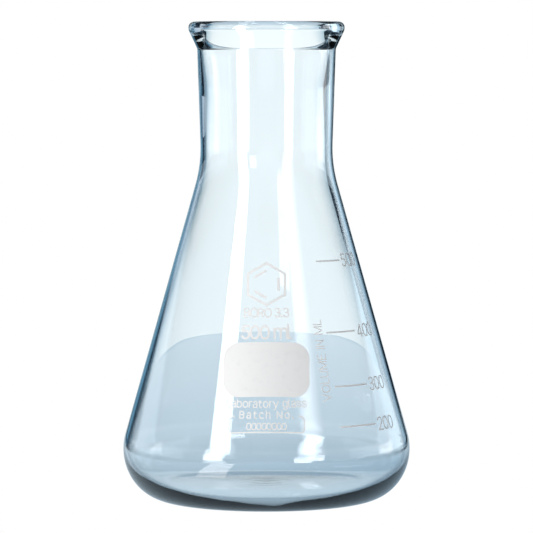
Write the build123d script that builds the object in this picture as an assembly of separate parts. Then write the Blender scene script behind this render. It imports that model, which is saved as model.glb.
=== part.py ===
from build123d import *

import os
from math import atan2, cos, degrees, pi, radians, sin, sqrt

# Wide-neck conical flask, 500 ml. Millimetres, +Z up, the origin on the axis where the foot
# stands. The printed side faces -Y, and azimuths are counted from there, positive towards +X.

# ------------------------------------------------------------------ driving dimensions: glass

BODY_DIA = 105.0        # widest part of the heel
HEIGHT = 175.0          # foot to lip
CONE_ANGLE = 15.75      # half-angle of the cone, degrees
NECK_DIA = 50.6         # outside of the neck, just under the lip
NECK_TAPER = 1.9        # the neck opens upwards by this angle, degrees
BORE_DIA = 45.7         # straight part of the inside of the neck
MOUTH_DIA = 48.4        # inside of the lip
LIP_DIA = 57.0          # outside of the beaded lip

WALL = 1.6              # cone and shoulder
FLOOR = 3.4             # base, at its standing ring
HEEL_REACH = 16.9       # the heel is part of an ellipse: its half-axis outwards
HEEL_RISE = 18.75       # and its half-axis upwards
SHOULDER_RADIUS = 48.0  # cone to neck, outside
PUSH_UP = 0.8           # the middle of the foot stands clear of the table by this much
STANDING_RING = 5.0     # width of the flat ring that the flask stands on

LIP_UNDERSIDE = 164.9   # height where the neck turns out into the lip
LIP_SHOULDER = 171.8    # height where the lip reaches its full width
BORE_TOP = 150.0        # height where the inside of the neck starts to open
LIP_ROOT_RADIUS = 2.5
LIP_SIDE_RADIUS = 3.0
LIP_TOP_RADIUS = 2.3
LIP_INNER_RADIUS = 2.0
BORE_FLARE_RADIUS = 60.0
MOUTH_RADIUS = 12.0

# ------------------------------------------------------------------ driving dimensions: enamel

ENAMEL = 0.06           # thickness of the fired enamel
ENAMEL_BOTTOM = 24.0    # the printed zone of the cone, which has straight sides
ENAMEL_TOP = 95.0
CAP_RATIO = 0.70        # height of a capital letter over its font size
OUTLINE_SIDE = 0.6      # side of a character's outline over the width of its stroke

GRADUATIONS = {200: 31.0, 300: 45.1, 400: 64.0, 500: 89.1}  # ml: height of its line
LINE_FROM = 31.9        # azimuths of the ends of a graduation line, degrees
LINE_TO = 51.4
LINE_WIDTH = 0.55
NUMBER_FROM = 53.2      # azimuth where a number starts
NUMBER_HEIGHT = 4.6
NUMBER_WIDTH = 10.8
NUMBER_STROKE = 0.5

PANEL_WIDTH = 30.6
PANEL_CORNER = 5.6
PANEL_BOTTOM = 42.3
PANEL_TOP = 61.3

EMBLEM_SIZE = 16.2
EMBLEM_CENTRE = 81.5
EMBLEM_STROKE = 0.85

FRAME_WIDTH = 27.4
FRAME_BOTTOM = 29.8
FRAME_TOP = 36.0
FRAME_CORNER = 1.9
FRAME_STROKE = 0.5
FRAME_GAP = 22.8        # opening in its top edge, where its label stands

VOLUME_TEXT_AZIMUTH = 29.4
VOLUME_TEXT_BOTTOM = 40.2
VOLUME_TEXT_LENGTH = 29.5
VOLUME_TEXT_HEIGHT = 3.3
VOLUME_TEXT_STROKE = 0.36

# ------------------------------------------------------------------ the glass

SLOPE = radians(CONE_ANGLE)
HEEL_CENTRE = BODY_DIA / 2 - HEEL_REACH   # radius of the heel ellipse's centre
CONE_REACH = sqrt((HEEL_REACH * cos(SLOPE)) ** 2 + (HEEL_RISE * sin(SLOPE)) ** 2)


def cone_radius(height, depth=0.0):
    """Radius of the cone's face at a height, at a depth into the glass."""
    return HEEL_CENTRE + (CONE_REACH - depth - (height - HEEL_RISE) * sin(SLOPE)) / cos(SLOPE)


def heel_end(reach, rise):
    """Angle on the heel's ellipse, and the point there, where the cone leaves it tangentially."""
    angle = atan2(rise * sin(SLOPE), reach * cos(SLOPE))
    return degrees(angle), (HEEL_CENTRE + reach * cos(angle), HEEL_RISE + rise * sin(angle))


def heel_arc(reach, rise, end_angle):
    """Part of the heel's ellipse, from its lowest point up to the cone."""
    centre = (HEEL_CENTRE, HEEL_RISE)
    return EllipticalCenterArc(centre, reach, rise, 90, arc_size=90 + end_angle, rotation=180)


def cone_meets(radius, lean, height, depth=0.0):
    """Where the cone's face meets a line through (radius, height) that leans out by lean degrees."""
    spread = sin(radians(lean)) / cos(radians(lean))
    gap = cone_radius(height, depth) - radius
    rise = gap / (sin(SLOPE) / cos(SLOPE) + spread)
    return radius + spread * rise, height + rise


def neck_line(height):
    """Outside radius of the neck at a height."""
    lean = radians(NECK_TAPER)
    return NECK_DIA / 2 - (LIP_UNDERSIDE - height) * sin(lean) / cos(lean)


def glass_section():
    """Half section of the wall: up the outside, over the lip and down the inside."""
    inner_rise = HEEL_RISE - FLOOR
    inner_reach = sqrt((CONE_REACH - WALL) ** 2 - (inner_rise * sin(SLOPE)) ** 2) / cos(SLOPE)
    outer_angle, outer_start = heel_end(HEEL_REACH, HEEL_RISE)
    inner_angle, inner_start = heel_end(inner_reach, inner_rise)

    waist = cone_meets(neck_line(HEEL_RISE), NECK_TAPER, HEEL_RISE)
    bore_foot = cone_meets(BORE_DIA / 2, 0, HEEL_RISE, WALL)
    corners = [
        (waist, SHOULDER_RADIUS),
        ((NECK_DIA / 2, LIP_UNDERSIDE), LIP_ROOT_RADIUS),
        ((LIP_DIA / 2, LIP_SHOULDER), LIP_SIDE_RADIUS),
        ((LIP_DIA / 2, HEIGHT), LIP_TOP_RADIUS),
        ((MOUTH_DIA / 2, HEIGHT), LIP_INNER_RADIUS),
        ((MOUTH_DIA / 2, LIP_UNDERSIDE), MOUTH_RADIUS),
        ((BORE_DIA / 2, BORE_TOP), BORE_FLARE_RADIUS),
        (bore_foot, SHOULDER_RADIUS + WALL),
    ]
    points = [outer_start] + [point for point, radius in corners] + [inner_start]
    wall = FilletPolyline(*points, radius=[radius for point, radius in corners])

    outer_heel = heel_arc(HEEL_REACH, HEEL_RISE, outer_angle)
    inner_heel = heel_arc(inner_reach, inner_rise, inner_angle)
    ring_inside = HEEL_CENTRE - STANDING_RING
    foot = Line((HEEL_CENTRE, 0), (ring_inside, 0))
    hollow_radius = (ring_inside ** 2 + PUSH_UP ** 2) / (2 * PUSH_UP)
    hollow_angle = degrees(atan2(ring_inside, hollow_radius - PUSH_UP))
    hollow = CenterArc(
        (0, PUSH_UP - hollow_radius), hollow_radius, 90 - hollow_angle, arc_size=hollow_angle
    )
    axis = Line((0, PUSH_UP), (0, FLOOR))
    floor = Line((0, FLOOR), (HEEL_CENTRE, FLOOR))
    return make_face(outer_heel + wall + inner_heel + floor + axis + hollow + foot)


def glass_vessel():
    """The blown vessel in one piece: foot, heel, cone, shoulder, neck and beaded lip."""
    return revolve(Plane.XZ * glass_section(), Axis.Z)


# ------------------------------------------------------------------ the enamel prints


def enamel_skin():
    """A skin of enamel over the whole printed zone, which each print is cut from."""
    section = Polyline(
        (cone_radius(ENAMEL_BOTTOM), ENAMEL_BOTTOM),
        (cone_radius(ENAMEL_BOTTOM, -ENAMEL), ENAMEL_BOTTOM),
        (cone_radius(ENAMEL_TOP, -ENAMEL), ENAMEL_TOP),
        (cone_radius(ENAMEL_TOP), ENAMEL_TOP),
        close=True,
    )
    return revolve(Plane.XZ * make_face(section), Axis.Z)


SKIN = enamel_skin()
STAMP_REACH = 8.0       # a stamp goes this far into and out of the cone


def stamp_plane(azimuth, height):
    """Plane lying on the cone at a point of it, with X to the right and Y up the slope."""
    around = radians(azimuth)
    outwards = (sin(around) * cos(SLOPE), -cos(around) * cos(SLOPE), sin(SLOPE))
    radius = cone_radius(height)
    centre = (radius * sin(around), -radius * cos(around), height)
    return Plane(centre, x_dir=(cos(around), sin(around), 0), z_dir=outwards)


def fired(outline, azimuth, height):
    """Enamel of the given flat outline, on the cone at that azimuth and height."""
    stamp = extrude(stamp_plane(azimuth, height) * outline, amount=STAMP_REACH, both=True)
    return (SKIN & stamp).solids()


def straight_sided(wire, side):
    """A closed outline redrawn with short straight sides."""
    count = max(8, round(wire.length / side))
    return make_face(Polyline(*[wire @ (step / count) for step in range(count)], close=True))


def redrawn(outline, side):
    """A character's outline and its holes redrawn with short straight sides."""
    faces = []
    for face in outline.faces():
        plain = straight_sided(face.outer_wire(), side)
        for hole in face.inner_wires():
            plain -= straight_sided(hole, side)
        faces.append(plain)
    return Sketch() + faces


def glyphs(text, cap_height, stroke):
    """The characters of a line as outlines with their left edge at X = 0, None for a space."""
    outlines = []
    for character in text:
        if character == " ":
            outlines.append(None)
            continue
        outline = Text(
            character,
            cap_height / CAP_RATIO,
            font="singleline",
            single_line_width=stroke,
            text_align=(TextAlign.LEFT, TextAlign.BOTTOM),
        )
        outline = redrawn(outline, OUTLINE_SIDE * stroke)
        outlines.append(Pos(-outline.bounding_box().min.X, 0) * outline)
    return outlines


def spread_line(text, cap_height, stroke, length):
    """Characters of a line with the place of each one's middle, spread over the line's length."""
    outlines = glyphs(text, cap_height, stroke)
    widths = [outline.bounding_box().size.X if outline else cap_height / 3 for outline in outlines]
    gap = (length - sum(widths)) / (len(text) - 1)
    line = []
    left = -length / 2
    for outline, width in zip(outlines, widths):
        if outline:
            line.append((Pos(-width / 2, 0) * outline, left + width / 2))
        left += width + gap
    return line


def text_around(text, cap_height, stroke, length, baseline, azimuth=0.0):
    """A line of text around the cone, centred on an azimuth."""
    solids = []
    for outline, place in spread_line(text, cap_height, stroke, length):
        turn = degrees(place / cone_radius(baseline))
        solids += fired(outline, azimuth + turn, baseline)
    return solids


def text_upwards(text, cap_height, stroke, length, bottom, azimuth):
    """A line of text that reads up the slope of the cone, with its capitals' tops to the left."""
    solids = []
    for outline, place in spread_line(text, cap_height, stroke, length):
        height = bottom + (place + length / 2) * cos(SLOPE)
        solids += fired(Rot(0, 0, 90) * outline, azimuth, height)
    return solids


def slope_length(bottom, top):
    """Length along the cone's slope between two heights."""
    return (top - bottom) / cos(SLOPE)


def writing_panel():
    """The white field for pencil notes."""
    field = RectangleRounded(PANEL_WIDTH, slope_length(PANEL_BOTTOM, PANEL_TOP), PANEL_CORNER)
    return fired(field, 0, (PANEL_BOTTOM + PANEL_TOP) / 2)


def emblem():
    """A plain benzene-ring device: a hexagon with a short bar inside every other side."""
    apothem = EMBLEM_SIZE / 2 * cos(radians(30))
    ring = RegularPolygon(EMBLEM_SIZE / 2, 6, rotation=30)
    ring -= RegularPolygon(EMBLEM_SIZE / 2 - EMBLEM_STROKE / cos(radians(30)), 6, rotation=30)
    solids = fired(ring, 0, EMBLEM_CENTRE)
    for turn in (0, 120, 240):
        bar = Pos(apothem - 3.2 * EMBLEM_STROKE, 0) * Rectangle(EMBLEM_STROKE, EMBLEM_SIZE * 0.3)
        solids += fired(Rot(0, 0, turn) * bar, 0, EMBLEM_CENTRE)
    return solids


def batch_frame():
    """A thin rounded frame, open at the top where its label stands."""
    tall = slope_length(FRAME_BOTTOM, FRAME_TOP)
    frame = RectangleRounded(FRAME_WIDTH, tall, FRAME_CORNER)
    frame -= RectangleRounded(
        FRAME_WIDTH - 2 * FRAME_STROKE, tall - 2 * FRAME_STROKE, FRAME_CORNER - FRAME_STROKE
    )
    frame -= Pos(0, tall / 2) * Rectangle(FRAME_GAP, tall / 2)
    return fired(frame, 0, (FRAME_BOTTOM + FRAME_TOP) / 2)


def graduation_line(height):
    """A level line around the cone at a filling height."""
    low = height - LINE_WIDTH / 2
    high = height + LINE_WIDTH / 2
    section = Polyline(
        (cone_radius(low), low),
        (cone_radius(low, -ENAMEL), low),
        (cone_radius(high, -ENAMEL), high),
        (cone_radius(high), high),
        close=True,
    )
    face = Rot(0, 0, LINE_FROM - 90) * (Plane.XZ * make_face(section))
    return revolve(face, Axis.Z, LINE_TO - LINE_FROM).solids()


def graduation_number(volume, height):
    """The number at the right-hand end of a line, its middle level with the line."""
    baseline = height - NUMBER_HEIGHT / 2 * cos(SLOPE)
    middle = NUMBER_FROM + degrees(NUMBER_WIDTH / 2 / cone_radius(baseline))
    return text_around(
        str(volume), NUMBER_HEIGHT, NUMBER_STROKE, NUMBER_WIDTH, baseline, middle
    )


def all_pieces():
    """Every piece of the flask by name, each as a list of solids."""
    pieces = {
        "glass_vessel": glass_vessel().solids(),
        "writing_panel": writing_panel(),
        "emblem": emblem(),
        "glass_type_text": text_around("BORO 3.3", 3.1, 0.55, 16.4, 70.0),
        "capacity_text": text_around("500 ml", 4.6, 0.8, 18.2, 62.5),
        "glassware_text": text_around("Laboratory glass", 2.7, 0.42, 29.0, 38.6),
        "batch_frame": batch_frame(),
        "batch_label_text": text_around("Batch No.", 2.6, 0.42, 19.5, 34.8),
        "batch_number_text": text_around("00000000", 2.4, 0.42, 14.6, 30.9),
        "volume_text": text_upwards(
            "VOLUME IN ML",
            VOLUME_TEXT_HEIGHT,
            VOLUME_TEXT_STROKE,
            VOLUME_TEXT_LENGTH,
            VOLUME_TEXT_BOTTOM,
            VOLUME_TEXT_AZIMUTH,
        ),
    }
    for volume, height in GRADUATIONS.items():
        pieces[f"graduation_line_{volume}"] = graduation_line(height)
        pieces[f"graduation_number_{volume}"] = graduation_number(volume, height)
    return pieces


os.makedirs("parts", exist_ok=True)
for name, solids in all_pieces().items():
    piece = solids[0] if len(solids) == 1 else Compound(solids)
    export_step(piece, f"parts/{name}.step")
    print(name, len(solids), "solids,", round(sum(solid.volume for solid in solids), 2), "mm3")
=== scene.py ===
from math import atan2, ceil, cos, exp, hypot, pi, radians, sin, sqrt, tan

import bpy
from bpy.props import FloatProperty, FloatVectorProperty, IntProperty, PointerProperty
from mathutils import Matrix, Vector


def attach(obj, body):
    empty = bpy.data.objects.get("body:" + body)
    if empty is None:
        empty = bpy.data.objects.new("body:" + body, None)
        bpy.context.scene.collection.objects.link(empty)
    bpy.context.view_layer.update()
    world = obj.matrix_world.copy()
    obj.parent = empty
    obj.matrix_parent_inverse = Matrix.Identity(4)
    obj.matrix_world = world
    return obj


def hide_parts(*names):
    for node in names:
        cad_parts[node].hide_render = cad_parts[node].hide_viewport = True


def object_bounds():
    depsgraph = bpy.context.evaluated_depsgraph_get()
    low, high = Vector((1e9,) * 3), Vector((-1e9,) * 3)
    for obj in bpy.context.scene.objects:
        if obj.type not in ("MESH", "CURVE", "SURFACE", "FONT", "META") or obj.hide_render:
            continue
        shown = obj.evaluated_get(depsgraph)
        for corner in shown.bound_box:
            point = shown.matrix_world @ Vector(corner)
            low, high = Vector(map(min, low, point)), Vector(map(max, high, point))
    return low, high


bl_info = {
    "name": "Printed conical flask",
    "version": (1, 0, 0),
    "blender": (4, 5, 0),
    "location": "3D View > Sidebar > Flask",
    "description": "Builds a 500 ml conical flask of printed laboratory glass around its CAD model",
    "category": "Add Mesh",
}

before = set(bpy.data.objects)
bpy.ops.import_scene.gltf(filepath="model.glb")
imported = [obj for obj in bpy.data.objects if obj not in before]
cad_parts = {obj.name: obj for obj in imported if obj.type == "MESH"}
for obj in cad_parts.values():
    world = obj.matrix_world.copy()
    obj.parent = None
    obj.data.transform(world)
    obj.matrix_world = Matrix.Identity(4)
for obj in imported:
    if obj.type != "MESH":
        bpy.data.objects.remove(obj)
cad_low, cad_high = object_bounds()

MM = 0.001
BODY = "root"
VESSEL_NODE = "glass_vessel"
PRINT_NODES = sorted(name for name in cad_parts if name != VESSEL_NODE)

LIP_ROOT_RADIUS = 2.5 * MM
LIP_FLARE_RADIUS = 3.0 * MM
LIP_CROWN_RADIUS = 2.3 * MM
MOUTH_EDGE_RADIUS = 2.0 * MM
MOUTH_FLARE_RADIUS = 12.0 * MM
BORE_FLARE_RADIUS = 60.0 * MM
LONGEST_STRETCH = 3 * MM
HEEL_STEPS = 44
RING_HEIGHT = 0.05 * MM
RING_PITCH = 5.5 * MM
RING_SPREAD = 11 * MM


# ---------------------------------------------------------------- sizes and colours


def length(name, description, default):
    """A length property in metres."""
    return FloatProperty(name=name, description=description, default=default, unit="LENGTH")


def angle(name, description, degrees_value):
    """An angle property whose default is given in degrees."""
    default = radians(degrees_value)
    return FloatProperty(name=name, description=description, default=default, subtype="ANGLE")


def colour(name, description, default):
    """A plain colour property."""
    return FloatVectorProperty(
        name=name, description=description, default=default, subtype="COLOR", soft_max=1.0
    )


def amount(name, description, default):
    """A plain number property."""
    return FloatProperty(name=name, description=description, default=default)


class FlaskGlassSettings(bpy.types.PropertyGroup):
    """Sizes and finish of the blown vessel."""

    body_radius: length("Body radius", "Outside of the heel at its widest", cad_high.x)
    height: length("Height", "Foot to lip", cad_high.z)
    cone_angle: angle("Cone angle", "Half-angle of the cone", 15.75)
    neck_radius: length("Neck radius", "Outside of the neck under the lip", 25.3 * MM)
    neck_taper: angle("Neck taper", "How far the neck opens upwards", 1.9)
    bore_radius: length("Bore radius", "Straight part of the inside of the neck", 22.85 * MM)
    mouth_radius: length("Mouth radius", "Inside of the lip", 24.2 * MM)
    lip_radius: length("Lip radius", "Outside of the beaded lip", 28.5 * MM)
    wall: length("Wall", "Thickness of cone and shoulder", 1.6 * MM)
    floor: length("Floor", "Thickness of the base at its standing ring", 3.4 * MM)
    heel_reach: length("Heel reach", "Half-axis of the heel's ellipse outwards", 16.9 * MM)
    heel_rise: length("Heel rise", "Half-axis of the heel's ellipse upwards", 18.75 * MM)
    shoulder_radius: length("Shoulder radius", "Cone to neck, outside", 48.0 * MM)
    push_up: length("Push-up", "Rise of the middle of the foot", 0.15 * MM)
    standing_ring: length("Standing ring", "Width of the flat ring it stands on", 5.0 * MM)
    lip_underside: length("Lip underside", "Height where the neck turns out", 164.9 * MM)
    lip_shoulder: length("Lip shoulder", "Height where the lip is at full width", 171.8 * MM)
    bore_top: length("Bore top", "Height where the bore starts to open", 150.0 * MM)
    steps_around: IntProperty(name="Steps around", description="Facets round the axis", default=256)
    tint: colour("Tint", "Colour of the glass", (0.957, 0.974, 0.984))
    # Painted shade: the glass's colour turns dark navy where it is seen edge-on, in place of dark
    # surroundings seen through it.
    painted_edge_shade: colour("Edge tint", "Colour of the glass seen edge-on", (0.04, 0.10, 0.16))
    depth_tint: colour("Depth tint", "Colour that deepens with thickness", (0.60, 0.76, 0.84))
    depth: amount("Depth", "How fast the tint deepens, per metre", 32.0)
    refraction: amount("Refraction", "Index of refraction of the glass", 1.473)


class FlaskPrintSettings(bpy.types.PropertyGroup):
    """Finish of the fired enamel prints."""

    white: colour("White", "Enamel where it lies thick", (0.80, 0.795, 0.785))
    thin: colour("Thin", "Enamel where the screen laid it thin", (0.74, 0.735, 0.73))
    grain: length("Grain", "Size of the grain of the fired enamel", 0.25 * MM)


class FlaskStageSettings(bpy.types.PropertyGroup):
    """Camera, table, backdrop and lights."""

    camera_distance: length("Camera distance", "From the flask's axis", 1.340)
    camera_height: length("Camera height", "Above the table", 0.1751)
    camera_pitch: angle("Camera pitch", "Downward tilt", 3.83)
    lens: FloatProperty(name="Lens", description="Focal length", default=247.96, unit="CAMERA")
    table_radius: length("Table radius", "From the axis to the table's edge", 0.73)
    backdrop_radius: length("Backdrop radius", "From the axis to the backdrop", 1.30)
    light_distance: length("Light distance", "From the axis to the strip lights", 1.20)
    key_strength: amount("Key strength", "Brightness of the left strip light", 9.0)
    fill_strength: amount("Fill strength", "Brightness of the right strip light", 3.8)


# ---------------------------------------------------------------- outline of the glass


def heel_tangent(glass, reach, rise):
    """Angle on the heel's ellipse where the cone leaves it."""
    return atan2(rise * sin(glass.cone_angle), reach * cos(glass.cone_angle))


def heel_points(glass, reach, rise):
    """The heel's ellipse from its lowest point up to the cone."""
    centre = glass.body_radius - glass.heel_reach
    end = heel_tangent(glass, reach, rise)
    sweep = end + pi / 2
    turns = [-pi / 2 + sweep * step / HEEL_STEPS for step in range(HEEL_STEPS + 1)]
    return [(centre + reach * cos(t), glass.heel_rise + rise * sin(t)) for t in turns]


def cone_reach(glass):
    """Distance from the heel ellipse's centre to the cone's outer face."""
    slope = glass.cone_angle
    return hypot(glass.heel_reach * cos(slope), glass.heel_rise * sin(slope))


def cone_radius(glass, height, depth=0.0):
    """Radius of the cone's face at a height, at a depth into the glass."""
    slope = glass.cone_angle
    centre = glass.body_radius - glass.heel_reach
    rise = (height - glass.heel_rise) * sin(slope)
    return centre + (cone_reach(glass) - depth - rise) / cos(slope)


def cone_meets(glass, radius, lean, depth=0.0):
    """Where the cone's face meets a line that leans out from that radius at the heel's height."""
    gap = cone_radius(glass, glass.heel_rise, depth) - radius
    rise = gap / (tan(glass.cone_angle) + tan(lean))
    return radius + tan(lean) * rise, glass.heel_rise + rise


def rounded(corners, step=radians(4)):
    """A path through (point, radius) corners with each corner rounded to its radius."""
    path = [corners[0][0]]
    for (before, _), (corner, radius), (after, _) in zip(corners, corners[1:], corners[2:]):
        here = Vector(corner)
        back = (Vector(before) - here).normalized()
        on = (Vector(after) - here).normalized()
        half = back.angle(on) / 2
        centre = here + (back + on).normalized() * (radius / sin(half))
        start = here + back * (radius / tan(half)) - centre
        turn = pi - 2 * half
        if back.x * on.y - back.y * on.x > 0:
            turn = -turn
        count = max(6, ceil(abs(turn) / step))
        for index in range(count + 1):
            path.append(tuple(centre + Matrix.Rotation(turn * index / count, 2) @ start))
    path.append(corners[-1][0])
    return path


def divided(path, longest):
    """The same path with its long straight stretches divided evenly."""
    result = [path[0]]
    for start, end in zip(path, path[1:]):
        start, end = Vector(start), Vector(end)
        count = max(1, ceil((end - start).length / longest))
        result += [tuple(start.lerp(end, (index + 1) / count)) for index in range(count)]
    return result


def floor_points(glass, count=48):
    """The inside of the base, from the heel to the axis, with the faint rings of the mould."""
    centre = glass.body_radius - glass.heel_reach
    points = []
    for step in range(1, count + 1):
        radius = centre * (1 - step / count)
        fade = exp(-((radius / RING_SPREAD) ** 2))
        ring = RING_HEIGHT * cos(2 * pi * radius / RING_PITCH) * fade
        points.append((radius, glass.floor + ring))
    return points


def foot_points(glass, count=24):
    """The underside, from the axis out over the hollow to the standing ring."""
    inside = glass.body_radius - glass.heel_reach - glass.standing_ring
    return [
        (inside * step / count, glass.push_up * (1 - (step / count) ** 2))
        for step in range(count + 1)
    ]


def vessel_outline(glass):
    """Half section of the wall as (radius, height) points, from the foot's middle to the floor's."""
    inner_rise = glass.heel_rise - glass.floor
    reach = cone_reach(glass) - glass.wall
    inner_reach = sqrt(reach**2 - (inner_rise * sin(glass.cone_angle)) ** 2) / cos(glass.cone_angle)
    outer_heel = heel_points(glass, glass.heel_reach, glass.heel_rise)
    inner_heel = heel_points(glass, inner_reach, inner_rise)
    neck_start = glass.neck_radius - (glass.lip_underside - glass.heel_rise) * tan(glass.neck_taper)
    waist = cone_meets(glass, neck_start, glass.neck_taper)
    bore_foot = cone_meets(glass, glass.bore_radius, 0, glass.wall)
    corners = [
        (outer_heel[-1], 0),
        (waist, glass.shoulder_radius),
        ((glass.neck_radius, glass.lip_underside), LIP_ROOT_RADIUS),
        ((glass.lip_radius, glass.lip_shoulder), LIP_FLARE_RADIUS),
        ((glass.lip_radius, glass.height), LIP_CROWN_RADIUS),
        ((glass.mouth_radius, glass.height), MOUTH_EDGE_RADIUS),
        ((glass.mouth_radius, glass.lip_underside), MOUTH_FLARE_RADIUS),
        ((glass.bore_radius, glass.bore_top), BORE_FLARE_RADIUS),
        (bore_foot, glass.shoulder_radius + glass.wall),
        (inner_heel[-1], 0),
    ]
    upper = divided(rounded(corners), LONGEST_STRETCH)
    return foot_points(glass) + outer_heel + upper[1:-1] + inner_heel[::-1] + floor_points(glass)


# ---------------------------------------------------------------- modelling helpers


def start_fresh():
    """Object mode with nothing selected."""
    if bpy.context.object and bpy.context.object.mode != "OBJECT":
        bpy.ops.object.mode_set(mode="OBJECT")
    bpy.ops.object.select_all(action="DESELECT")


def select_only(piece):
    """Makes the piece the active object and the only selected one."""
    start_fresh()
    piece.select_set(True)
    bpy.context.view_layer.objects.active = piece


def finish_piece(piece, name, material):
    """Names a piece, settles its transform, gives it its material and puts it on the flask."""
    select_only(piece)
    bpy.ops.object.transform_apply(location=True, rotation=True, scale=True)
    piece.name = name
    piece.data.name = name
    piece.data.materials.clear()
    piece.data.materials.append(material)
    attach(piece, BODY)


def draw_outline(points):
    """A mesh of single edges through (radius, height) points, extruded vertex by vertex."""
    start_fresh()
    first = Vector((points[0][0], 0, points[0][1]))
    bpy.ops.mesh.primitive_plane_add(size=MM, location=first)
    bpy.ops.object.transform_apply(location=True, rotation=True, scale=True)
    bpy.ops.object.mode_set(mode="EDIT")
    bpy.ops.mesh.select_all(action="SELECT")
    bpy.ops.mesh.merge(type="CENTER")
    for start, end in zip(points, points[1:]):
        step = (end[0] - start[0], 0, end[1] - start[1])
        bpy.ops.mesh.extrude_region_move(TRANSFORM_OT_translate={"value": step})
    return bpy.context.object


def spin_closed(steps):
    """Spins the edited outline right round the axis and closes seam and poles."""
    bpy.ops.mesh.select_all(action="SELECT")
    bpy.ops.mesh.spin(steps=steps, angle=2 * pi, center=(0, 0, 0), axis=(0, 0, 1))
    bpy.ops.mesh.select_all(action="SELECT")
    bpy.ops.mesh.remove_doubles(threshold=1e-6)
    bpy.ops.mesh.dissolve_degenerate(threshold=1e-7)
    bpy.ops.mesh.select_all(action="SELECT")
    bpy.ops.mesh.normals_make_consistent(inside=False)
    bpy.ops.object.mode_set(mode="OBJECT")
    bpy.ops.object.shade_smooth()


# ---------------------------------------------------------------- materials


def new_material(name):
    """A material with its node tree, Principled shader and links at hand."""
    material = bpy.data.materials.new(name)
    material.use_nodes = True
    tree = material.node_tree
    return material, tree, tree.nodes["Principled BSDF"]


def ranged(tree, low, high, bottom=0.0, top=1.0):
    """A Map Range node from low..high to bottom..top."""
    node = tree.nodes.new("ShaderNodeMapRange")
    node.inputs["From Min"].default_value = low
    node.inputs["From Max"].default_value = high
    node.inputs["To Min"].default_value = bottom
    node.inputs["To Max"].default_value = top
    return node


def maths(tree, operation):
    """A Math node."""
    node = tree.nodes.new("ShaderNodeMath")
    node.operation = operation
    return node


def grain_group():
    """Node group: fine grain on Object coordinates, as a mask and a height."""
    group = bpy.data.node_groups.new("Fired grain", "ShaderNodeTree")
    interface = group.interface
    scale = interface.new_socket("Scale", in_out="INPUT", socket_type="NodeSocketFloat")
    scale.default_value = 1000.0
    interface.new_socket("Mask", in_out="OUTPUT", socket_type="NodeSocketFloat")
    interface.new_socket("Height", in_out="OUTPUT", socket_type="NodeSocketFloat")
    nodes = group.nodes
    inputs = nodes.new("NodeGroupInput")
    outputs = nodes.new("NodeGroupOutput")
    place = nodes.new("ShaderNodeTexCoord")
    coarse = nodes.new("ShaderNodeTexNoise")
    coarse.inputs["Detail"].default_value = 4.0
    fine = nodes.new("ShaderNodeTexNoise")
    fine.inputs["Detail"].default_value = 2.0
    slower = nodes.new("ShaderNodeMath")
    slower.operation = "MULTIPLY"
    slower.inputs[1].default_value = 0.12
    link = group.links.new
    link(place.outputs["Object"], coarse.inputs["Vector"])
    link(place.outputs["Object"], fine.inputs["Vector"])
    link(inputs.outputs["Scale"], slower.inputs[0])
    link(slower.outputs[0], coarse.inputs["Scale"])
    link(inputs.outputs["Scale"], fine.inputs["Scale"])
    link(coarse.outputs["Fac"], outputs.inputs["Mask"])
    link(fine.outputs["Fac"], outputs.inputs["Height"])
    return group


def glass_material(glass):
    """Clear borosilicate glass with faint striae from drawing and blowing, and painted dark shade
    where it is seen edge-on.
    """
    material, tree, shader = new_material("Borosilicate glass")
    shader.inputs["Transmission Weight"].default_value = 1.0
    shader.inputs["IOR"].default_value = glass.refraction
    shader.inputs["Roughness"].default_value = 0.0
    nodes, link = tree.nodes, tree.links.new

    body = nodes.new("ShaderNodeVolumeAbsorption")
    body.inputs["Color"].default_value = (*glass.depth_tint, 1)
    body.inputs["Density"].default_value = glass.depth
    link(body.outputs["Volume"], nodes["Material Output"].inputs["Volume"])

    # Painted shade: Layer Weight darkens the glass towards a dark navy where it is seen edge-on, in
    # place of dark surroundings seen through the edges.
    slant = nodes.new("ShaderNodeLayerWeight")
    slant.inputs["Blend"].default_value = 0.5
    grazing = ranged(tree, 0.66, 0.93)
    grazing.interpolation_type = "SMOOTHSTEP"
    tint = nodes.new("ShaderNodeMix")
    tint.data_type = "RGBA"
    tint.inputs["A"].default_value = (*glass.tint, 1)
    tint.inputs["B"].default_value = (*glass.painted_edge_shade, 1)
    link(slant.outputs["Facing"], grazing.inputs["Value"])
    link(grazing.outputs["Result"], tint.inputs["Factor"])
    link(tint.outputs["Result"], shader.inputs["Base Color"])

    place = nodes.new("ShaderNodeTexCoord")
    stretch = nodes.new("ShaderNodeMapping")
    stretch.inputs["Scale"].default_value = (1, 1, 0.25)
    striae = nodes.new("ShaderNodeTexNoise")
    striae.inputs["Scale"].default_value = 55.0
    striae.inputs["Detail"].default_value = 1.0
    bump = nodes.new("ShaderNodeBump")
    bump.inputs["Strength"].default_value = 0.05
    bump.inputs["Distance"].default_value = 1 * MM
    link(place.outputs["Object"], stretch.inputs["Vector"])
    link(stretch.outputs["Vector"], striae.inputs["Vector"])
    link(striae.outputs["Fac"], bump.inputs["Height"])
    link(bump.outputs["Normal"], shader.inputs["Normal"])
    return material


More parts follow.
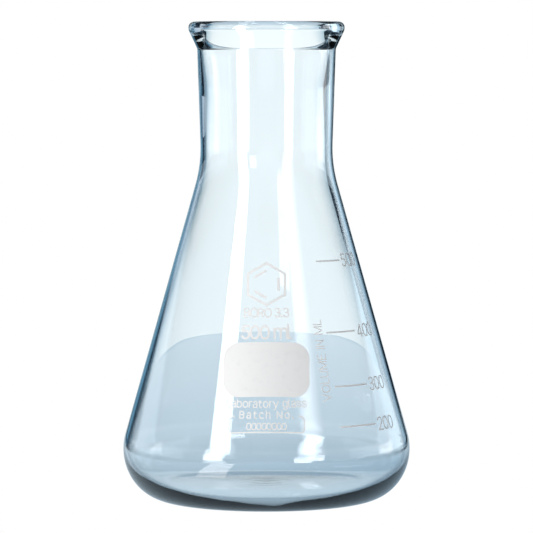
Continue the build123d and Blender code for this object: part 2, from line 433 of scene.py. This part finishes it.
def enamel_material(prints, grain):
    """White ceramic enamel, screen-printed and fired: satin, slightly uneven in body."""
    material, tree, shader = new_material("Fired white enamel")
    nodes, link = tree.nodes, tree.links.new
    body = nodes.new("ShaderNodeGroup")
    body.node_tree = grain
    body.inputs["Scale"].default_value = 1 / prints.grain
    shade = nodes.new("ShaderNodeMix")
    shade.data_type = "RGBA"
    shade.inputs["A"].default_value = (*prints.thin, 1)
    shade.inputs["B"].default_value = (*prints.white, 1)
    spread = ranged(tree, 0.10, 0.45)
    link(body.outputs["Mask"], spread.inputs["Value"])
    link(spread.outputs["Result"], shade.inputs["Factor"])
    link(shade.outputs["Result"], shader.inputs["Base Color"])
    rough = ranged(tree, 0.0, 1.0, 0.42, 0.62)
    link(body.outputs["Height"], rough.inputs["Value"])
    link(rough.outputs["Result"], shader.inputs["Roughness"])
    bump = nodes.new("ShaderNodeBump")
    bump.inputs["Strength"].default_value = 0.35
    bump.inputs["Distance"].default_value = 0.02 * MM
    link(body.outputs["Height"], bump.inputs["Height"])
    link(bump.outputs["Normal"], shader.inputs["Normal"])
    return material


def grain_once():
    """The grain group, made on first use."""
    return bpy.data.node_groups.get("Fired grain") or grain_group()


# ---------------------------------------------------------------- the flask's pieces


class FLASK_OT_blow_vessel(bpy.types.Operator):
    """Blow the glass vessel: foot, heel, cone, shoulder, neck and beaded lip in one wall"""

    bl_idname = "flask.blow_vessel"
    bl_label = "Blow the vessel"

    def execute(self, context):
        glass = context.scene.flask_glass
        vessel = draw_outline(vessel_outline(glass))
        spin_closed(glass.steps_around)
        finish_piece(vessel, "blown_glass_vessel", glass_material(glass))
        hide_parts(VESSEL_NODE)
        return {"FINISHED"}


class FLASK_OT_fire_prints(bpy.types.Operator):
    """Give every enamel print its fired finish"""

    bl_idname = "flask.fire_prints"
    bl_label = "Fire the prints"

    def execute(self, context):
        enamel = enamel_material(context.scene.flask_prints, grain_once())
        for name in PRINT_NODES:
            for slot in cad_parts[name].material_slots:
                slot.material = enamel
        return {"FINISHED"}


# ---------------------------------------------------------------- the stage


def glow_material(name):
    """A material that only gives off light, with its emission shader and links."""
    material = bpy.data.materials.new(name)
    material.use_nodes = True
    nodes = material.node_tree.nodes
    nodes.clear()
    glow = nodes.new("ShaderNodeEmission")
    output = nodes.new("ShaderNodeOutputMaterial")
    material.node_tree.links.new(glow.outputs[0], output.inputs["Surface"])
    return material, material.node_tree, glow


def colour_ramp(tree, stops):
    """A colour ramp with (place, colour) stops."""
    ramp = tree.nodes.new("ShaderNodeValToRGB")
    elements = ramp.color_ramp.elements
    while len(elements) > 1:
        elements.remove(elements[-1])
    elements[0].position = stops[0][0]
    elements[0].color = (*stops[0][1], 1)
    for place, shade in stops[1:]:
        elements.new(place).color = (*shade, 1)
    return ramp


def seen_by(piece, camera=False, diffuse=False, glossy=False, transmission=False):
    """Says which rays see a stage piece; none casts a shadow."""
    piece.visible_camera = camera
    piece.visible_diffuse = diffuse
    piece.visible_glossy = glossy
    piece.visible_transmission = transmission
    piece.visible_shadow = False


def disc(name, radius, height, material):
    """A round stage piece lying level."""
    start_fresh()
    bpy.ops.mesh.primitive_circle_add(
        vertices=128, radius=radius, fill_type="NGON", location=(0, 0, height)
    )
    piece = bpy.context.object
    piece.name = name
    piece.data.materials.append(material)
    return piece


def bent_wall(name, low, high, azimuths, material, steps=48):
    """A strip bent round the axis from a lower to an upper (radius, height) edge.

    The azimuths are in degrees and count from +Y towards +X.
    """
    start_fresh()
    start, end = [radians(azimuth) for azimuth in azimuths]
    corner = Vector((low[0] * sin(start), low[0] * cos(start), low[1]))
    reach = high[0] - low[0]
    step = (reach * sin(start), reach * cos(start), high[1] - low[1])
    bpy.ops.mesh.primitive_plane_add(size=MM, location=corner)
    bpy.ops.object.transform_apply(location=True, rotation=True, scale=True)
    bpy.ops.object.mode_set(mode="EDIT")
    bpy.ops.mesh.select_all(action="SELECT")
    bpy.ops.mesh.merge(type="CENTER")
    bpy.ops.mesh.extrude_region_move(TRANSFORM_OT_translate={"value": step})
    bpy.ops.mesh.select_all(action="SELECT")
    bpy.ops.mesh.spin(steps=steps, angle=end - start, center=(0, 0, 0), axis=(0, 0, 1))
    bpy.ops.object.mode_set(mode="OBJECT")
    piece = bpy.context.object
    piece.name = name
    piece.data.materials.append(material)
    return piece


# Painted light and shadow on the table: a painted shadow in deep blue under the flask, paling
# outwards to painted light.
TABLE_LIGHT_AND_SHADOW_STOPS = (
    (0.00, (0.36, 0.51, 0.64)),
    (0.07, (0.43, 0.58, 0.70)),
    (0.22, (0.62, 0.75, 0.84)),
    (0.48, (0.72, 0.84, 0.92)),
    (0.73, (0.78, 0.90, 0.97)),
)
ROOM_STOPS = (
    (0.0, (0.24, 0.29, 0.34)),
    (0.1, (0.08, 0.11, 0.15)),
    (0.25, (0.01, 0.02, 0.03)),
)


def table_glow():
    """The table as the glass shows it, glowing in place of a lit table: pale blue far off, with a
    painted shadow deepening under the flask, centred 10 cm right of its axis.
    """
    material, tree, glow = glow_material("Table seen through glass")
    place = tree.nodes.new("ShaderNodeTexCoord")
    reach = tree.nodes.new("ShaderNodeVectorMath")
    reach.operation = "LENGTH"
    ramp = colour_ramp(tree, TABLE_LIGHT_AND_SHADOW_STOPS)
    middle = tree.nodes.new("ShaderNodeVectorMath")
    middle.operation = "SUBTRACT"
    middle.inputs[1].default_value = (0.10, 0, 0)
    # Painted sheen: the table glows at full strength where it is seen at a grazing angle and 10%
    # dimmer seen from above.
    slant = tree.nodes.new("ShaderNodeLayerWeight")
    slant.inputs["Blend"].default_value = 0.5
    painted_sheen = ranged(tree, 0.15, 0.70, 0.90, 1.0)
    split = tree.nodes.new("ShaderNodeSeparateXYZ")
    aside = maths(tree, "ABSOLUTE")
    edge = ranged(tree, 0.15, 0.20, 1.0, 0.03)
    both = maths(tree, "MULTIPLY")
    link = tree.links.new
    link(place.outputs["Object"], middle.inputs[0])
    link(middle.outputs["Vector"], reach.inputs[0])
    link(reach.outputs["Value"], ramp.inputs["Fac"])
    link(ramp.outputs["Color"], glow.inputs["Color"])
    link(slant.outputs["Facing"], painted_sheen.inputs["Value"])
    link(place.outputs["Object"], split.inputs[0])
    link(split.outputs["X"], aside.inputs[0])
    link(aside.outputs[0], edge.inputs["Value"])
    link(painted_sheen.outputs["Result"], both.inputs[0])
    link(edge.outputs["Result"], both.inputs[1])
    link(both.outputs[0], glow.inputs["Strength"])
    material.cycles.emission_sampling = "NONE"
    return material


BLACK = (0.010, 0.020, 0.035)
FIELD_STOPS = (
    (-14, (0.55, 0.74, 0.83)),
    (-8, (1.05, 1.12, 1.13)),
    (6, (1.05, 1.12, 1.13)),
    (10.5, (0.55, 0.72, 0.82)),
)
LEFT_LOW_STOPS = (
    (-110, (0.70, 0.78, 0.86)),
    (-52, (0.70, 0.78, 0.86)),
    (-48, BLACK),
    (-29, BLACK),
    (-26, (0.16, 0.36, 0.52)),
    (-17, (0.16, 0.36, 0.52)),
    (-15, (0.30, 0.50, 0.62)),
)
LEFT_HIGH_STOPS = (
    (-110, (0.70, 0.78, 0.86)),
    (-50, (0.70, 0.78, 0.86)),
    (-30, (0.50, 0.66, 0.80)),
    (-27, (0.10, 0.22, 0.34)),
    (-18, (0.08, 0.18, 0.28)),
    (-15, (0.30, 0.46, 0.58)),
)
RIGHT_STOPS = (
    (11.5, BLACK),
    (22.5, BLACK),
    (26, (0.30, 0.52, 0.68)),
    (29, (0.52, 0.72, 0.88)),
    (35, (0.55, 0.72, 0.86)),
    (38, (1.20, 1.45, 1.60)),
    (56, (1.20, 1.45, 1.60)),
    (60, (0.80, 0.92, 1.02)),
    (110, (0.80, 0.92, 1.02)),
)
FILL_STOPS = (
    (130, (0, 0, 0)),
    (137, (0.75, 0.72, 0.70)),
    (144, (1.00, 0.97, 0.95)),
    (147, (0.90, 0.88, 0.87)),
    (150.5, (0, 0, 0)),
)


def azimuth_glow(name, stops, strength=1.0, sweep=False):
    """A glow whose colour changes round the axis; the stops are azimuths in degrees.

    With a sweep, its foot takes the table's colour, higher up the further it is from +Y.
    """
    material, tree, glow = glow_material(name)
    place = tree.nodes.new("ShaderNodeTexCoord")
    split = tree.nodes.new("ShaderNodeSeparateXYZ")
    around = maths(tree, "ARCTAN2")
    turn = ranged(tree, -pi, pi)
    ramp = colour_ramp(tree, [((azimuth + 180) / 360, shade) for azimuth, shade in stops])
    glow.inputs["Strength"].default_value = strength
    link = tree.links.new
    link(place.outputs["Object"], split.inputs[0])
    link(split.outputs["X"], around.inputs[0])
    link(split.outputs["Y"], around.inputs[1])
    link(around.outputs[0], turn.inputs["Value"])
    link(turn.outputs["Result"], ramp.inputs["Fac"])
    link(ramp.outputs["Color"], glow.inputs["Color"])
    if sweep:
        away = maths(tree, "ABSOLUTE")
        climb = ranged(tree, radians(0.5), radians(10), -0.052, -0.033)
        foot = maths(tree, "LESS_THAN")
        blend = tree.nodes.new("ShaderNodeMix")
        blend.data_type = "RGBA"
        blend.inputs["B"].default_value = (0.70, 0.84, 0.92, 1)
        link(around.outputs[0], away.inputs[0])
        link(away.outputs[0], climb.inputs["Value"])
        link(split.outputs["Z"], foot.inputs[0])
        link(climb.outputs["Result"], foot.inputs[1])
        link(foot.outputs[0], blend.inputs["Factor"])
        link(ramp.outputs["Color"], blend.inputs["A"])
        link(blend.outputs["Result"], glow.inputs["Color"])
    material.cycles.emission_sampling = "NONE" if strength <= 1 else "AUTO"
    return material


def plain_glow(name, shade, strength):
    """A glow of one colour."""
    material, _, glow = glow_material(name)
    glow.inputs["Color"].default_value = (*shade, 1)
    glow.inputs["Strength"].default_value = strength
    return material


class FLASK_OT_set_stage(bpy.types.Operator):
    """Set up table, backdrop, lights and camera"""

    bl_idname = "flask.set_stage"
    bl_label = "Set the stage"

    def execute(self, context):
        stage = context.scene.flask_stage
        self.place_camera(context, stage)
        self.light_world(context)
        floor = disc("floor", 6.0, -0.3 * MM, plain_glow("White floor", (1, 1, 1), 1.0))
        seen_by(floor, camera=True)
        table = self.table(stage)
        far = stage.backdrop_radius
        field = azimuth_glow("Backdrop field", FIELD_STOPS, sweep=True)
        left_low = azimuth_glow("Left flag", LEFT_LOW_STOPS)
        left_high = azimuth_glow("Left wing", LEFT_HIGH_STOPS)
        right = azimuth_glow("Right wing", RIGHT_STOPS)
        rig = [
            table,
            bent_wall("backdrop", (far, -0.5), (far, 0.70), (-14, 11), field),
            bent_wall("left_flag", (far, -0.5), (far, 0.16), (-110, -14), left_low),
            bent_wall("left_wing", (far, 0.16), (far, 0.30), (-110, -14), left_high),
            bent_wall("right_wing", (far, -0.5), (far, 0.30), (11, 110), right),
        ]
        for piece in rig:
            seen_by(piece, glossy=True, transmission=True)
        rig += self.strips(stage)
        for piece in rig:
            piece.parent = context.scene.camera
            piece.matrix_parent_inverse = context.scene.camera.matrix_world.inverted()
        return {"FINISHED"}

    def table(self, stage):
        """The table top that the glass shows, with a straight far edge."""
        start_fresh()
        near = 1.1
        middle = (stage.table_radius - near) / 2
        bpy.ops.mesh.primitive_plane_add(size=1, location=(0, middle, -0.2 * MM))
        table = bpy.context.object
        table.scale = (3, stage.table_radius + near, 1)
        bpy.ops.object.transform_apply(location=True, rotation=True, scale=True)
        table.name = "table_in_glass"
        table.data.materials.append(table_glow())
        return table

    def strips(self, stage):
        """The two strip lights in front, the key light's painted reflection on the table, a low
        strip at the table by the fill, and the one behind on the right.
        """
        distance = stage.light_distance
        key = plain_glow("Key light", (1, 1, 1), stage.key_strength)
        fill = azimuth_glow("Fill light", FILL_STOPS, stage.fill_strength)
        kicker = plain_glow("Kicker light", (1, 1, 1), 3.0)
        foot = plain_glow("Fill foot", (1, 1, 1), 2 * stage.fill_strength)
        # Painted reflection: flat glowing strips on the table stand in for the key light's
        # reflection in it; they also glow for diffuse rays.
        table = plain_glow("Key light painted as its reflection on the table", (1, 0.97, 0.95), 0.45 * stage.key_strength)
        strips = [
            bent_wall("key_low", (distance, -0.1), (distance, 0.2), (-145, -129), key),
            bent_wall("key_middle", (distance, 0.2), (distance, 0.4), (-146.5, -130), key),
            bent_wall("key_high", (distance, 0.4), (distance, 0.95), (-149.5, -132.5), key),
            bent_wall("key_reflection_on_table_near", (0.07, 0.001), (0.22, 0.001), (-158, -141), table),
            bent_wall("key_reflection_on_table_far", (0.22, 0.001), (0.80, 0.001), (-149, -133), table),
            bent_wall("fill_low", (distance, -0.1), (distance, 0.2), (134, 147), foot),
            bent_wall("fill_high", (distance, 0.2), (distance, 0.95), (128, 153), fill),
            bent_wall("fill_foot_low", (0.30, 0.0), (0.30, 0.05), (147, 160), foot),
            bent_wall("kicker_strip", (distance, 0), (distance, 0.2), (60, 78), kicker),
        ]
        for strip in strips:
            seen_by(strip, diffuse=True, glossy=True, transmission=True)
        return strips

    def place_camera(self, context, stage):
        """The camera looks along +Y, level with the lip and tilted down."""
        data = bpy.data.cameras.new("camera")
        data.lens = stage.lens
        data.sensor_width = 36
        data.clip_end = 20
        camera = bpy.data.objects.new("camera", data)
        camera.location = (0, -stage.camera_distance, stage.camera_height)
        camera.rotation_euler = (pi / 2 - stage.camera_pitch, 0, 0)
        context.scene.collection.objects.link(camera)
        context.scene.camera = camera
        context.view_layer.update()

    def light_world(self, context):
        """White for the camera, a dim grey-blue room for everything else."""
        world = bpy.data.worlds.new("studio")
        context.scene.world = world
        world.use_nodes = True
        tree = world.node_tree
        room = tree.nodes["Background"]
        place = tree.nodes.new("ShaderNodeTexCoord")
        split = tree.nodes.new("ShaderNodeSeparateXYZ")
        ramp = colour_ramp(tree, ROOM_STOPS)
        white = tree.nodes.new("ShaderNodeBackground")
        white.inputs["Color"].default_value = (1, 1, 1, 1)
        path = tree.nodes.new("ShaderNodeLightPath")
        mix = tree.nodes.new("ShaderNodeMixShader")
        link = tree.links.new
        link(place.outputs["Generated"], split.inputs[0])
        link(split.outputs["Z"], ramp.inputs["Fac"])
        link(ramp.outputs["Color"], room.inputs["Color"])
        link(path.outputs["Is Camera Ray"], mix.inputs["Fac"])
        link(room.outputs[0], mix.inputs[1])
        link(white.outputs[0], mix.inputs[2])
        link(mix.outputs[0], tree.nodes["World Output"].inputs["Surface"])
        context.scene.view_settings.view_transform = "Standard"


# ---------------------------------------------------------------- panel and registration


class FLASK_PT_panel(bpy.types.Panel):
    """Sizes, colours and building steps of the flask"""

    bl_idname = "FLASK_PT_panel"
    bl_label = "Conical flask"
    bl_space_type = "VIEW_3D"
    bl_region_type = "UI"
    bl_category = "Flask"

    def draw(self, context):
        for group, operators in SECTIONS:
            box = self.layout.box()
            settings = getattr(context.scene, group)
            for name in settings.bl_rna.properties.keys():
                if name not in ("rna_type", "name"):
                    box.prop(settings, name)
            for operator in operators:
                box.operator(operator.bl_idname)


SETTINGS = {
    "flask_glass": FlaskGlassSettings,
    "flask_prints": FlaskPrintSettings,
    "flask_stage": FlaskStageSettings,
}
SECTIONS = (
    ("flask_stage", (FLASK_OT_set_stage,)),
    ("flask_glass", (FLASK_OT_blow_vessel,)),
    ("flask_prints", (FLASK_OT_fire_prints,)),
)
CLASSES = (
    *SETTINGS.values(),
    FLASK_OT_set_stage,
    FLASK_OT_blow_vessel,
    FLASK_OT_fire_prints,
    FLASK_PT_panel,
)


def register():
    for cls in CLASSES:
        bpy.utils.register_class(cls)
    for name, settings in SETTINGS.items():
        setattr(bpy.types.Scene, name, PointerProperty(type=settings))


def unregister():
    for name in SETTINGS:
        delattr(bpy.types.Scene, name)
    for cls in reversed(CLASSES):
        bpy.utils.unregister_class(cls)


def main():
    register()
    bpy.ops.flask.set_stage()
    bpy.ops.flask.blow_vessel()
    bpy.ops.flask.fire_prints()


if __name__ == "__main__":
    main()
